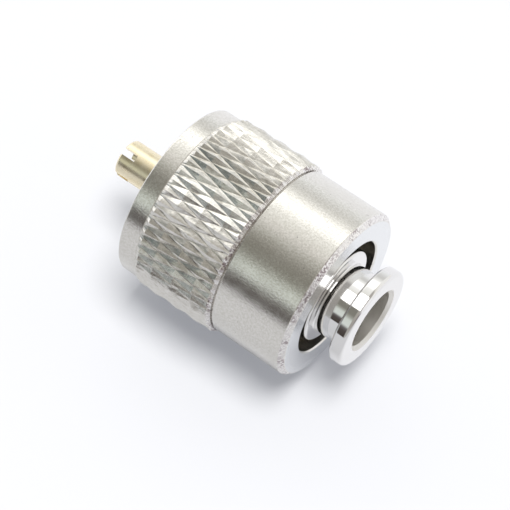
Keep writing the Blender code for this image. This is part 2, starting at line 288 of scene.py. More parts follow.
def worn_metal_painted_sparkle():
    """Rough metal with painted sparkle: painted glints and dark specks, in patches."""
    material, tree = new_surface("sparkle_painted_chamfer_nickel", NICKEL_LIGHT, 1.0, 0.2)
    specks = noise_value(tree, object_coords(tree), 0.3 * MM, 3, 0.75)
    patches = noise_value(tree, object_coords(tree), 2.2 * MM, 2)
    # Painted sparkle: glints and dark specks are painted into the colour.
    painted_sparkle_colour = tint(tree, remap(tree, specks, 0.44, 0.54), PAINTED_DARK_SPARKLE, PAINTED_GLINT)
    patchy = tint(tree, remap(tree, patches, 0.40, 0.56, 0, 0.8), painted_sparkle_colour, SMOOTH_PATCH)
    connect(tree, normal=bump(tree, specks, 0.05 * MM), colour=patchy,
            roughness=remap(tree, specks, 0.3, 0.7, 0.10, 0.35))
    return material


rough_with_painted_sparkle = worn_metal_painted_sparkle()

# %% [markdown]
# The flat ends of the nut were faced in the lathe, and the tool left fine circles
# under the plating. They follow the radius, so the noise reads one number, the
# distance from the axis, and its spots become rings.
# %% Faced nickel with turning marks
def faced_nickel():
    """Flat metal with fine circles round the axis."""
    material, tree = new_surface("faced_nickel", (0.80, 0.81, 0.82), 1.0, 0.2)
    place = tree.nodes.new("ShaderNodeSeparateXYZ")
    feed(tree, object_coords(tree), place.inputs[0])
    flat = tree.nodes.new("ShaderNodeCombineXYZ")
    feed(tree, place.outputs["X"], flat.inputs["X"])
    feed(tree, place.outputs["Y"], flat.inputs["Y"])
    radius = tree.nodes.new("ShaderNodeVectorMath")
    radius.operation = "LENGTH"
    feed(tree, flat.outputs[0], radius.inputs[0])
    along_radius = tree.nodes.new("ShaderNodeCombineXYZ")
    feed(tree, radius.outputs["Value"], along_radius.inputs["X"])
    marks = noise_value(tree, along_radius.outputs[0], 0.14 * MM, 3, 0.7)
    frost = noise_value(tree, object_coords(tree), 0.11 * MM)
    connect(tree, normal=bump(tree, frost, 0.0015 * MM, bump(tree, marks, 0.008 * MM)),
            roughness=remap(tree, marks, 0.3, 0.7, 0.16, 0.3))
    return material


faced = faced_nickel()

# %% [markdown]
# The knurl is plated too, but the roll tore the metal as it pressed the grooves.
# Fine marks run across its flanks, from a noise squeezed along the axis. Crumbs of
# torn metal, twice as long as they are wide, tint the flanks and vary their gloss.
# %% Torn nickel for the knurl
def torn_nickel():
    """Plating over torn metal, with cross marks and crumbs."""
    material, tree = new_surface("torn_nickel", NICKEL_LIGHT, 1.0, 0.24)
    streaks = noise_value(tree, object_coords(tree, (0.4, 0.4, 2)), 0.16 * MM, 2, 0.5)
    crumbs = noise_value(tree, object_coords(tree, (1, 1, 0.5)), 0.25 * MM, 3, 0.6)
    connect(tree, normal=bump(tree, crumbs, 0.02 * MM, bump(tree, streaks, 0.012 * MM)),
            colour=tint(tree, remap(tree, crumbs, 0.35, 0.65), NICKEL_DARK, NICKEL_LIGHT),
            roughness=remap(tree, crumbs, 0.3, 0.7, 0.13, 0.26))
    return material


torn = torn_nickel()

# %% [markdown]
# The body's tail is polished before plating, so it mirrors the room in clean bars.
# Only a faint smear in the roughness and a slow wave in the surface keep it from
# looking like a perfect mirror.
# %% Polished nickel
def polished_nickel():
    """Mirror plating with a smear and a slow wave."""
    material, tree = new_surface("polished_nickel", (0.82, 0.81, 0.80), 1.0, 0.06)
    smear = noise_value(tree, object_coords(tree, (1, 1, 0.4)), 1.2 * MM, 3)
    waves = noise_value(tree, object_coords(tree, (1, 1, 0.3)), 1.5 * MM, 1)
    connect(tree, normal=bump(tree, waves, 0.002 * MM),
            roughness=remap(tree, smear, 0.35, 0.7, 0.04, 0.1))
    return material


polished = polished_nickel()

# %% [markdown]
# The cable bore was only drilled, and plating hardly reaches it. A rough metal with
# the drill's rings keeps it from going black, which a mirror-smooth bore would do.
# %% Drilled brass under thin plating
def drilled_nickel():
    """Dull metal with rings squeezed along the axis."""
    material, tree = new_surface("drilled_nickel", (0.74, 0.72, 0.68), 1.0, 0.5)
    rings = noise_value(tree, object_coords(tree, (0.2, 0.2, 3)), 0.3 * MM, 2)
    connect(tree, normal=bump(tree, rings, 0.02 * MM),
            roughness=remap(tree, rings, 0.3, 0.7, 0.40, 0.60))
    return material


drilled = drilled_nickel()

# %% [markdown]
# The pin carries a thin gold plate over a turned surface. The lathe's feed leaves
# fine rings, so the bump here is a noise squeezed along Z. The inside of the tube
# catches a deeper orange from its own reflections, with no help from the material.
# %% Gold plate
GOLD_DARK = (0.90, 0.79, 0.55)
GOLD_LIGHT = (0.94, 0.85, 0.64)


def gold_plate():
    """Thin gold with clouded colour over fine turning rings."""
    material, tree = new_surface("gold_plate", (0.93, 0.79, 0.50), 1.0, 0.25)
    feed_rings = noise_value(tree, object_coords(tree, (0.2, 0.2, 4)), 0.3 * MM, 2)
    cloud = noise_value(tree, object_coords(tree), 1.0 * MM, 3)
    connect(tree, normal=bump(tree, feed_rings, 0.002 * MM),
            colour=tint(tree, remap(tree, cloud, 0.35, 0.65), GOLD_DARK, GOLD_LIGHT),
            roughness=remap(tree, cloud, 0.3, 0.7, 0.22, 0.34))
    return material


gold = gold_plate()

# %% [markdown]
# The bead is a white fluoroplastic, waxy rather than glossy, so a little light
# passes under its skin.
# %% White bead plastic
WAX_DEPTH = 0.5 * MM


def bead_plastic():
    """Waxy white plastic with a fine skin."""
    material, tree = new_surface("white_plastic", (0.86, 0.86, 0.84), 0.0, 0.42)
    shader = tree.nodes["Principled BSDF"]
    shader.inputs["Subsurface Weight"].default_value = 0.15
    shader.inputs["Subsurface Radius"].default_value = (WAX_DEPTH, WAX_DEPTH, WAX_DEPTH)
    skin = noise_value(tree, object_coords(tree), 0.15 * MM, 2)
    connect(tree, normal=bump(tree, skin, 0.004 * MM),
            roughness=remap(tree, skin, 0.3, 0.7, 0.36, 0.5))
    return material


white = bead_plastic()

# %% [markdown]
# The retaining ring is bare spring bronze, which darkens in patches as it ages.
# %% Spring bronze
BRONZE_DARK = (0.55, 0.40, 0.26)
BRONZE_LIGHT = (0.72, 0.56, 0.38)


def spring_bronze():
    """Bare bronze with dark patches and a fine grain."""
    material, tree = new_surface("spring_bronze", (0.68, 0.52, 0.34), 1.0, 0.3)
    cloud = noise_value(tree, object_coords(tree), 0.8 * MM, 3)
    grain = noise_value(tree, object_coords(tree), 0.1 * MM)
    connect(tree, normal=bump(tree, grain, 0.004 * MM),
            colour=tint(tree, remap(tree, cloud, 0.35, 0.65), BRONZE_DARK, BRONZE_LIGHT))
    return material


bronze = spring_bronze()

# %% [markdown]
# The coupling nut is a sleeve turned from bar: a collar, a core for the knurl, a
# skirt with a broad rear chamfer, and inside it a hole, a cavity with the ring's
# groove, and the threaded bore. Its sizes are named first, from the outside in.
# %% Name the nut's sizes
NUT_STEPS = 256
NUT_REAR = nut_low.z
NUT_FRONT = nut_high.z
KNURL_CREST = nut_high.x
CORE_RADIUS = KNURL_CREST - 0.75 * MM
COLLAR_RADIUS = 9.3 * MM
COLLAR_REAR = NUT_FRONT - 2.1 * MM
SKIRT_RADIUS = 9.2 * MM
SKIRT_FRONT = NUT_REAR + 8.4 * MM
REAR_CHAMFER = 0.5 * MM
HOLE_RADIUS = 6.3 * MM
HOLE_CHAMFER = 0.15 * MM
REAR_WALL = 1.5 * MM
CAVITY_RADIUS = 7.05 * MM
GROOVE_RADIUS = 8.45 * MM
GROOVE_REAR = NUT_REAR + 4.85 * MM
GROOVE_FRONT = GROOVE_REAR + 1.1 * MM
THREAD_RADIUS = 7.94 * MM
THREAD_REAR = NUT_FRONT - 10.0 * MM
RUNOUT_CHAMFER = 0.5 * MM
ENTRY_CHAMFER = 0.45 * MM
print("nut", round((NUT_FRONT - NUT_REAR) / MM, 2), "mm long,",
      round(2 * KNURL_CREST / MM, 2), "mm over the knurl")

# %% [markdown]
# All of the sleeve is one profile, which goes round from the collar to the rear
# and back through the bore. The knurl and the thread are added after, as they are
# on the machine.
# %% Turn the coupling nut
nut = turned([
    (COLLAR_RADIUS, NUT_FRONT),
    (COLLAR_RADIUS, COLLAR_REAR),
    (CORE_RADIUS, COLLAR_REAR),
    (CORE_RADIUS, SKIRT_FRONT),
    (SKIRT_RADIUS, SKIRT_FRONT),
    (SKIRT_RADIUS, NUT_REAR + REAR_CHAMFER),
    (SKIRT_RADIUS - REAR_CHAMFER, NUT_REAR),
    (HOLE_RADIUS + HOLE_CHAMFER, NUT_REAR),
    (HOLE_RADIUS, NUT_REAR + HOLE_CHAMFER),
    (HOLE_RADIUS, NUT_REAR + REAR_WALL),
    (CAVITY_RADIUS, NUT_REAR + REAR_WALL),
    (CAVITY_RADIUS, GROOVE_REAR),
    (GROOVE_RADIUS, GROOVE_REAR),
    (GROOVE_RADIUS, GROOVE_FRONT),
    (CAVITY_RADIUS, GROOVE_FRONT),
    (CAVITY_RADIUS, THREAD_REAR),
    (THREAD_RADIUS - RUNOUT_CHAMFER, THREAD_REAR),
    (THREAD_RADIUS, THREAD_REAR + RUNOUT_CHAMFER),
    (THREAD_RADIUS, NUT_FRONT - ENTRY_CHAMFER),
    (THREAD_RADIUS + ENTRY_CHAMFER, NUT_FRONT),
], NUT_STEPS)
deburr(nut, COLLAR_RADIUS, NUT_FRONT, 0.18 * MM, 4)
deburr(nut, COLLAR_RADIUS, COLLAR_REAR, 0.1 * MM)
deburr(nut, SKIRT_RADIUS, SKIRT_FRONT, 0.12 * MM)
deburr(nut, SKIRT_RADIUS, NUT_REAR + REAR_CHAMFER, 0.05 * MM)
deburr(nut, SKIRT_RADIUS - REAR_CHAMFER, NUT_REAR, 0.05 * MM)
deburr(nut, HOLE_RADIUS + HOLE_CHAMFER, NUT_REAR, 0.04 * MM)
print("nut turned:", len(nut.faces), "faces")

# %% [markdown]
# One turning carries three finishes: frost on its round faces, turning marks on
# its flat ends and a rough rear chamfer with painted sparkle. Each face is given its
# finish by how steeply it faces along the axis, from 0 to 1, and by where it lies.
# %% Give each face of the nut its finish
FROSTED, ROUGH_SPARKLE, FACED = range(3)
SLANTED, FLAT = 0.3, 0.9


def nut_finish(face):
    """Choose the finish of one face of the nut."""
    middle = face.calc_center_median()
    steepness = abs(face.normal.z)
    outside = middle.xy.length > SKIRT_RADIUS - REAR_CHAMFER
    if SLANTED < steepness < FLAT and outside and middle.z < NUT_REAR + REAR_CHAMFER:
        return ROUGH_SPARKLE
    at_end = middle.z < NUT_REAR + TOUCH or middle.z > NUT_FRONT - TOUCH
    return FACED if steepness > FLAT and at_end else FROSTED


nut.normal_update()
for face in nut.faces:
    face.material_index = nut_finish(face)
nut_sleeve = as_piece(nut, "nut_sleeve", "coupling_nut",
                      [satin, rough_with_painted_sparkle, faced])
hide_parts("coupling_nut")

# %% [markdown]
# Diamond knurling is two sets of V grooves that cross and leave long pyramids. It
# could be cut with a hundred helical cutters, which is slow and fragile. A circle
# of four segments is already a diamond, so one is laid for each row of a single
# column on a flat sheet, poked up into a pyramid and subdivided. On the flat sheet
# X runs round the nut, Y along its axis and Z is how far the metal stands proud.
# %% Lay one column of the knurl
KNURL_STARTS = 50
KNURL_HELIX = math.radians(13.8)
KNURL_CUTS = 3
KNURL_GAP = 0.1 * MM
KNURL_VALLEY = KNURL_CREST - 0.33 * MM
KNURL_REAR = SKIRT_FRONT + KNURL_GAP
KNURL_FRONT = COLLAR_REAR
half_width = math.pi * KNURL_VALLEY / KNURL_STARTS
half_length = half_width / math.tan(KNURL_HELIX)
knurl_middle = (KNURL_REAR + KNURL_FRONT) / 2
half_band = (KNURL_FRONT - KNURL_REAR) / 2
rows_each_way = math.ceil(half_band / half_length)

knurl = bmesh.new()
for row in range(-rows_each_way, rows_each_way + 1):
    place = Matrix.Translation((row % 2 * half_width, row * half_length, 0))
    shape = Matrix.Diagonal((half_width, half_length, 1, 1))
    bmesh.ops.create_circle(knurl, cap_ends=True, segments=4, radius=1, matrix=place @ shape)
for crest in bmesh.ops.poke(knurl, faces=knurl.faces[:])["verts"]:
    crest.co.z = KNURL_CREST - KNURL_VALLEY
bmesh.ops.subdivide_edges(knurl, edges=knurl.edges[:], cuts=KNURL_CUTS, use_grid_fill=True)
print("column:", 2 * rows_each_way + 1, "pyramids,", round(2 * half_length / MM, 2), "mm long")

# %% [markdown]
# The flat column is wrapped round the axis, and spin copies it all the way round.
# Each copy meets the next along its rim, where the doubled points are merged.
# %% Wrap the knurl round the nut
WELD = 0.01 * MM


def whole(bm):
    """Return every point, edge and face of a mesh, as spin and bisect_plane take them."""
    return bm.verts[:] + bm.edges[:] + bm.faces[:]


for vert in knurl.verts:
    angle = vert.co.x / KNURL_VALLEY
    radius = KNURL_VALLEY + vert.co.z
    vert.co = (radius * math.cos(angle), radius * math.sin(angle), knurl_middle + vert.co.y)
bmesh.ops.spin(knurl, geom=whole(knurl), cent=(0, 0, 0), axis=(0, 0, 1), dvec=(0, 0, 0),
               angle=2 * math.pi * (1 - 1 / KNURL_STARTS), steps=KNURL_STARTS - 1,
               use_duplicate=True)
bmesh.ops.remove_doubles(knurl, verts=knurl.verts[:], dist=WELD)
print("knurl:", len(knurl.faces), "facets")

# %% [markdown]
# A real knurl isn't a clean lattice: the roll slips a little and tears the flanks.
# Small moves in and out, from a noise stretched along the axis, give each pyramid
# its own faces. No point moves past the crest's radius, because the knurl can't
# grow wider than the bar it was cut in.
# %% Tear the knurl
TEAR_DEPTH = 0.05 * MM
TEAR_WIDTH = 0.35 * MM
TEAR_LENGTH = 0.9 * MM


def set_radius(vert, radius):
    """Move a point straight in or out, to a radius from the axis."""
    vert.co.xy = vert.co.xy.normalized() * radius


for vert in knurl.verts:
    at = Vector((vert.co.x / TEAR_WIDTH, vert.co.y / TEAR_WIDTH, vert.co.z / TEAR_LENGTH))
    radius = vert.co.xy.length + TEAR_DEPTH * noise.noise(at)
    set_radius(vert, min(radius, KNURL_CREST))
print("torn by up to", round(TEAR_DEPTH / MM, 3), "mm")

# %% [markdown]
# The band is cut to length with bisect_plane, and its ends are chamfered by
# holding each point inside a cone. In front it ends against the collar, but a
# narrow groove is left beside the skirt, which shows as a dark line.
# %% Trim and chamfer the knurl
END_CHAMFER = 0.4 * MM

for side, end in ((-1, KNURL_REAR), (1, KNURL_FRONT)):
    for height, trims in ((end - side * END_CHAMFER, False), (end, True)):
        bmesh.ops.bisect_plane(knurl, geom=whole(knurl), plane_co=(0, 0, height),
                               plane_no=(0, 0, side), clear_outer=trims)
for vert in knurl.verts:
    past_flat = max(0, abs(vert.co.z - knurl_middle) - (half_band - END_CHAMFER))
    set_radius(vert, min(vert.co.xy.length, KNURL_CREST - past_flat))
print("band", round((KNURL_FRONT - KNURL_REAR) / MM, 2), "mm long")

# %% [markdown]
# The band's two rims are extruded down, a little into the nut's core, and bridged
# there, which closes the band. Its rear end takes the rough finish with its painted
# sparkle. A low crease angle keeps the facets crisp.
# %% Close the knurl
OVERLAP = 0.05 * MM
TORN, ROUGH_END_SPARKLE = range(2)


def open_edges(bm):
    """Return the edges that have a face on one side only."""
    return [edge for edge in bm.edges if edge.is_boundary]


for item in bmesh.ops.extrude_edge_only(knurl, edges=open_edges(knurl))["geom"]:
    if isinstance(item, bmesh.types.BMVert):
        set_radius(item, CORE_RADIUS - OVERLAP)
bmesh.ops.bridge_loops(knurl, edges=open_edges(knurl))
bmesh.ops.recalc_face_normals(knurl, faces=knurl.faces[:])
for face in knurl.faces:
    at_rear = face.calc_center_median().z < KNURL_REAR + END_CHAMFER
    face.material_index = ROUGH_END_SPARKLE if at_rear else TORN
nut_knurl = as_piece(knurl, "nut_knurl", "coupling_nut", [torn, rough_with_painted_sparkle],
                     crease=11, turned_faces=False)
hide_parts("coupling_nut")

# %% [markdown]
# The thread has 24 turns to the inch, right-handed. Its ridge is a four-sided
# section that spin carries round while it climbs by one pitch a turn. The section
# is narrow at its tip, and its foot is sunk a little into the wall of the bore.
# %% Spin the thread's ridge
PITCH = 25.4 / 24 * MM
THREAD_STEPS = 96
THREAD_DEPTH = 0.59 * MM
RIDGE_TIP = 0.13 * PITCH
RIDGE_FOOT = 0.44 * PITCH
MOUTH_MARGIN = 0.05 * MM
ridge_tip_radius = THREAD_RADIUS - THREAD_DEPTH
ridge_foot_radius = THREAD_RADIUS + OVERLAP
ridge_start = THREAD_REAR + RUNOUT_CHAMFER + RIDGE_FOOT
ridge_steps = int((NUT_FRONT - RIDGE_FOOT - MOUTH_MARGIN - ridge_start) / PITCH * THREAD_STEPS)

thread = bmesh.new()
section = [(ridge_foot_radius, -RIDGE_FOOT), (ridge_tip_radius, -RIDGE_TIP),
           (ridge_tip_radius, RIDGE_TIP), (ridge_foot_radius, RIDGE_FOOT)]
ridge_end = thread.faces.new([thread.verts.new((radius, 0, ridge_start + up))
                              for radius, up in section])
bmesh.ops.spin(thread, geom=[ridge_end], cent=(0, 0, 0), axis=(0, 0, 1),
               dvec=(0, 0, PITCH / THREAD_STEPS), angle=2 * math.pi * ridge_steps / THREAD_STEPS,
               steps=ridge_steps, use_duplicate=False)
print("thread:", round(ridge_steps / THREAD_STEPS, 2), "turns")

# %% [markdown]
# A thread doesn't start at full height. The ridge rises out of the wall over the
# first four tenths of a turn, and the mouth's chamfer cuts it back at the other
# end. Both are moves in and out, after which the ridge's two ends are closed.
# %% Fade and close the thread
FADE_TURNS = 0.4


def close_up(bm):
    """Fill the holes of a mesh and turn all its faces outwards."""
    bmesh.ops.holes_fill(bm, edges=open_edges(bm))
    bmesh.ops.recalc_face_normals(bm, faces=bm.faces[:])


for vert in thread.verts:
    turns = (vert.co.z - ridge_start) / PITCH
    fade = min(1, max(0, 1 - turns / FADE_TURNS))
    mouth = ridge_foot_radius - (NUT_FRONT - vert.co.z)
    radius = max(vert.co.xy.length, mouth)
    set_radius(vert, radius + (ridge_foot_radius - radius) * fade)
close_up(thread)
nut_thread = as_piece(thread, "nut_thread", "coupling_nut", [satin],
                      turned_faces=False)
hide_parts("coupling_nut")

# %% [markdown]
# The body is one turning too. Its tail is what shows: an end flange with a soft
# rear edge, a neck and the barrel. Further in are the land that the nut's hole
# passes, the runway for the ring, and the shoulder with the contact ring.
# %% Name the body's sizes
BODY_STEPS = 192
CONTACT_FRONT = body_high.z
SHOULDER_RADIUS = body_high.x
SHOULDER_REAR = CONTACT_FRONT - 2.95 * MM
SEAT = SHOULDER_REAR + 0.95 * MM
SEAT_RADIUS = SHOULDER_RADIUS - 1.15 * MM
RUNWAY_RADIUS = 5.45 * MM
LAND_RADIUS = 6.1 * MM
LAND_REAR = 8.0 * MM
LAND_FRONT = 9.0 * MM
BARREL_RADIUS = 5.1 * MM
NECK_RADIUS = 3.85 * MM
NECK_FRONT = 4.3 * MM
FLANGE_RADIUS = 5.35 * MM
FLANGE_FRONT = 1.5 * MM
CABLE_BORE = 3.1 * MM
CABLE_CHAMFER = 0.35 * MM
STEM_BORE = 4.4 * MM
STEM_SEAT = 11.0 * MM
print("body", round((CONTACT_FRONT - body_low.z) / MM, 2), "mm long, neck",
      round((NECK_FRONT - FLANGE_FRONT) / MM, 2), "mm wide")

# %% [markdown]
# The profile goes down the outside from the contact ring to the tail, and back up
# through the cable bore. The tail's edges get broad rounds, because the tail is
# polished, and polishing rounds an edge.
# %% Turn the plug body
body = turned([
    (SHOULDER_RADIUS, CONTACT_FRONT),
    (SHOULDER_RADIUS, SHOULDER_REAR),
    (RUNWAY_RADIUS, SHOULDER_REAR),
    (RUNWAY_RADIUS, LAND_FRONT),
    (LAND_RADIUS, LAND_FRONT),
    (LAND_RADIUS, LAND_REAR),
    (BARREL_RADIUS, LAND_REAR),
    (BARREL_RADIUS, NECK_FRONT),
    (NECK_RADIUS, NECK_FRONT),
    (NECK_RADIUS, FLANGE_FRONT),
    (FLANGE_RADIUS, FLANGE_FRONT),
    (FLANGE_RADIUS, body_low.z),
    (CABLE_BORE + CABLE_CHAMFER, body_low.z),
    (CABLE_BORE, body_low.z + CABLE_CHAMFER),
    (CABLE_BORE, STEM_SEAT),
    (STEM_BORE, STEM_SEAT),
    (STEM_BORE, SEAT),
    (SEAT_RADIUS, SEAT),
    (SEAT_RADIUS, CONTACT_FRONT),
], BODY_STEPS)
deburr(body, SHOULDER_RADIUS, SHOULDER_REAR, 0.2 * MM)
deburr(body, LAND_RADIUS, LAND_REAR, 0.25 * MM)
deburr(body, BARREL_RADIUS, NECK_FRONT, 0.3 * MM, 5)
deburr(body, NECK_RADIUS, NECK_FRONT, 0.2 * MM)
deburr(body, NECK_RADIUS, FLANGE_FRONT, 0.2 * MM)
deburr(body, FLANGE_RADIUS, FLANGE_FRONT, 0.3 * MM)
deburr(body, FLANGE_RADIUS, body_low.z, 0.45 * MM, 6)
deburr(body, CABLE_BORE + CABLE_CHAMFER, body_low.z, 0.05 * MM)
print("body turned:", len(body.faces), "faces")

# %% [markdown]
# The contact ring's face is cut into small V teeth, which bite into the socket.
# A cutter for each gap would work, but the ring already has eight columns of faces
# for each tooth, so lowering the middle columns of its face gives the same V.
# %% Cut the contact teeth
TEETH = 24
TOOTH_DEPTH = 0.6 * MM
GAP_HALF_COLUMNS = 2
columns_per_tooth = BODY_STEPS // TEETH

for vert in body.verts:
    if vert.co.z > CONTACT_FRONT - TOUCH:
        share_round = math.atan2(vert.co.y, vert.co.x) / (2 * math.pi)
        column = round(share_round * BODY_STEPS) % columns_per_tooth
        from_gap = abs(column - columns_per_tooth / 2)
        vert.co.z -= TOOTH_DEPTH * max(0, 1 - from_gap / GAP_HALF_COLUMNS)
print("contact ring:", TEETH, "teeth,", columns_per_tooth, "columns each")

# %% [markdown]
# The faces that look towards the axis, out as far as the bead's stem, are the bore.
# They take the drilled finish, and all the others stay polished.
# %% Give the bore its finish
POLISHED, DRILLED = range(2)
body.normal_update()
for face in body.faces:
    middle = face.calc_center_median()
    inward = face.normal.xy.dot(middle.xy) < 0
    in_bore = inward and middle.xy.length < STEM_BORE + TOUCH
    face.material_index = DRILLED if in_bore else POLISHED
turned_body = as_piece(body, "turned_body", "plug_body",
                       [polished, drilled])
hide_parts("plug_body")

# %% [markdown]
# The bead is a stepped plug of plastic with a hole for the pin and a recess for
# the pin's flange. It sits in the contact ring, a little below the teeth.
# %% Turn the bead
BEAD_STEPS = 128
FIT = 0.1 * MM
BEAD_SHOULDER = SEAT + FIT
BEAD_STEM_RADIUS = STEM_BORE - FIT
PIN_RADIUS = 2.0 * MM
PIN_HOLE = PIN_RADIUS + FIT
RECESS_RADIUS = pin_high.x + FIT
RECESS_DEPTH = 0.8 * MM
PIN_SEAT = bead_high.z - RECESS_DEPTH

bead = turned([
    (bead_high.x, bead_high.z),
    (bead_high.x, BEAD_SHOULDER),
    (BEAD_STEM_RADIUS, BEAD_SHOULDER),
    (BEAD_STEM_RADIUS, bead_low.z),
    (PIN_HOLE, bead_low.z),
    (PIN_HOLE, PIN_SEAT),
    (RECESS_RADIUS, PIN_SEAT),
    (RECESS_RADIUS, bead_high.z),
], BEAD_STEPS)
deburr(bead, bead_high.x, bead_high.z, 0.15 * MM)
deburr(bead, RECESS_RADIUS, bead_high.z, 0.06 * MM)
deburr(bead, BEAD_STEM_RADIUS, bead_low.z, 0.15 * MM)
white_bead = as_piece(bead, "white_bead", "plug_body", [white])
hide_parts("insulator")

# %% [markdown]
# The pin is a tube with a small flange and a rounded tip. It is turned whole, and
# its slots are sawn afterwards, as on the real pin.
# %% Turn the pin
PIN_STEPS = 120
PIN_BORE = 1.3 * MM
PIN_TIP = pin_high.z
PIN_SHOULDER = PIN_SEAT + FIT
PIN_FLANGE_FRONT = PIN_SHOULDER + 0.8 * MM
FUNNEL = 0.35 * MM

pin = turned([
    (PIN_RADIUS, PIN_TIP),
    (PIN_RADIUS, PIN_FLANGE_FRONT),
    (pin_high.x, PIN_FLANGE_FRONT),
    (pin_high.x, PIN_SHOULDER),
    (PIN_RADIUS, PIN_SHOULDER),
    (PIN_RADIUS, pin_low.z),
    (PIN_BORE + FUNNEL, pin_low.z),
    (PIN_BORE, pin_low.z + FUNNEL),
    (PIN_BORE, PIN_TIP),
], PIN_STEPS)
deburr(pin, PIN_RADIUS, PIN_TIP, 0.3 * MM, 5)
deburr(pin, pin_high.x, PIN_FLANGE_FRONT, 0.1 * MM)
print("pin turned:", len(pin.faces), "faces")

# %% [markdown]
# Two crossed saw cuts make the four slots. Each cut is bounded by two planes and a
# floor, so bisect_plane scores the tube along them. Below the floor the tube is
# left alone, so only the tip is handed to the later cuts.
# %% Mark the slots
SLOT_TURN = math.radians(11)
SLOT_WIDTH = 0.8 * MM
SLOT_FLOOR = PIN_TIP - 1.7 * MM
saw_across = [Vector((math.cos(angle), math.sin(angle), 0))
              for angle in (SLOT_TURN, SLOT_TURN + math.pi / 2)]


def tip_geometry(bm):
    """Return everything of the pin above the slots' floor."""
    faces = [face for face in bm.faces if face.calc_center_median().z > SLOT_FLOOR]
    edges = dict.fromkeys(edge for face in faces for edge in face.edges)
    verts = dict.fromkeys(vert for face in faces for vert in face.verts)
    return [*verts, *edges, *faces]


bmesh.ops.bisect_plane(pin, geom=whole(pin), plane_co=(0, 0, SLOT_FLOOR), plane_no=(0, 0, 1))
for across in saw_across:
    for side in (-1, 1):
        bmesh.ops.bisect_plane(pin, geom=tip_geometry(pin),
                               plane_co=across * side * SLOT_WIDTH / 2, plane_no=across * side)
print("pin marked:", len(pin.faces), "faces")

# %% [markdown]
# The faces between the marks are deleted. Bridging the outer wall to the inner one
# makes each slot's floor, and filling what is still open makes the side walls.
# %% Saw the slots
def in_slot(point):
    """Tell whether a point lies in the width of a slot."""
    return any(abs(point.dot(across)) < SLOT_WIDTH / 2 for across in saw_across)


def on_floor(edge):
    """Tell whether an edge lies at the height of the slots' floor."""
    return all(abs(vert.co.z - SLOT_FLOOR) < TOUCH for vert in edge.verts)


sawn = [item for item in tip_geometry(pin) if isinstance(item, bmesh.types.BMFace)
        and in_slot(item.calc_center_median())]
bmesh.ops.delete(pin, geom=sawn, context="FACES")
for saw in (*saw_across, *[-across for across in saw_across]):
    along = saw.cross(Vector((0, 0, 1)))
    floor_edges = [edge for edge in open_edges(pin) if on_floor(edge)
                   and sum((vert.co for vert in edge.verts), Vector()).dot(along) > PIN_BORE]
    bmesh.ops.bridge_loops(pin, edges=floor_edges)
close_up(pin)
gold_pin = as_piece(pin, "gold_pin", "plug_body", [gold])
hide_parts("centre_pin")

# %% [markdown]
# The retaining ring is a flat bronze ring, split so that it can be sprung into the
# nut's groove. A square section spun a little less than a full turn leaves the gap.
# Its corners are rounded in two steps that meet at 45 degrees, so the crease angle
# is set just above that.
# %% Bend the retaining ring
RING_STEPS = 120
RING_GAP = 2.2 * MM
RING_TURN = math.radians(200)
RING_INNER = RUNWAY_RADIUS + FIT
RING_OUTER = CAVITY_RADIUS + 0.7 * MM
RING_ROUND = 0.06 * MM
SQUARE_CORNER = math.radians(80)
gap_angle = 2 * RING_GAP / (RING_INNER + RING_OUTER)

ring = bmesh.new()
ring_section = [(RING_OUTER, ring_high.z), (RING_OUTER, ring_low.z),
                (RING_INNER, ring_low.z), (RING_INNER, ring_high.z)]
ring_end = ring.faces.new([ring.verts.new((radius, 0, height))
                           for radius, height in ring_section])
bmesh.ops.rotate(ring, verts=ring.verts[:], cent=(0, 0, 0),
                 matrix=Matrix.Rotation(RING_TURN + gap_angle / 2, 3, "Z"))
bmesh.ops.spin(ring, geom=[ring_end], cent=(0, 0, 0), axis=(0, 0, 1), dvec=(0, 0, 0),
               angle=2 * math.pi - gap_angle, steps=RING_STEPS, use_duplicate=False)
close_up(ring)
corners = [edge for edge in ring.edges if edge.calc_face_angle(0) > SQUARE_CORNER]
bmesh.ops.bevel(ring, geom=corners, offset=RING_ROUND, offset_type="OFFSET", affect="EDGES",
                segments=2, profile=0.5, material=-1, clamp_overlap=True)
bronze_ring = as_piece(ring, "bronze_ring", "retaining_ring", [bronze],
                       crease=46)
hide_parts("retaining_ring")

# %% [markdown]
# The plug lies on its knurl on a white sheet. The frame stands it on its tail, so
# the sheet here is a wall beside it, just touching the knurl, and the camera rolls
# to suit.
# %% Lay the sheet
SHEET_TURN = math.radians(25)
SHEET_RADIUS = 0.7
SHEET_CLEARANCE = 0.02 * MM
sheet_normal = Vector((math.sin(SHEET_TURN), -math.cos(SHEET_TURN), 0))

sheet_mesh = bmesh.new()
bmesh.ops.create_circle(sheet_mesh, cap_ends=True, segments=64, radius=SHEET_RADIUS,
                        matrix=sheet_normal.to_track_quat("Z", "Y").to_matrix().to_4x4())
bmesh.ops.translate(sheet_mesh, verts=sheet_mesh.verts[:],
                    vec=-sheet_normal * (KNURL_CREST + SHEET_CLEARANCE))
sheet_data = bpy.data.meshes.new("white_sheet")
sheet_mesh.to_mesh(sheet_data)
sheet_mesh.free()
white_sheet = add_object("white_sheet", sheet_data)
print("sheet", round(2 * SHEET_RADIUS, 2), "m across")

# %% [markdown]
# The paper looks almost white. A faint glow, which only the camera and mirrors see,
# brings it there, so that the light it scatters on the plug stays plain. Less light
# falls on its near side, under the opening for the camera, and that shade is painted
# into the paper for mirrors only: in mirrors it loses a quarter of its brightness there.
# From behind, the paper lets the camera look through, or it would hide the plug in
# every view from that side.
# %% Finish the sheet
SEEN_SHADE = (0.35, 0.35, 0.355)
BOUNCE_SHADE = (0.50, 0.50, 0.50)
SHEET_GLOW = (0.21, 0.22, 0.25)
NEAR_SIDE_START = 4 * MM
NEAR_SIDE_END = 14 * MM
NEAR_SIDE_PAINTED_SHADE = 0.28
to_near_side = sheet_normal.cross(Vector((0, 0, 1)))


def calculate(tree, operation, first, second=None):
    """Return what a Math node makes of one or two values."""
    node = tree.nodes.new("ShaderNodeMath")
    node.operation = operation
    feed(tree, first, node.inputs[0])
    if second is not None:
        feed(tree, second, node.inputs[1])
    return node.outputs["Value"]


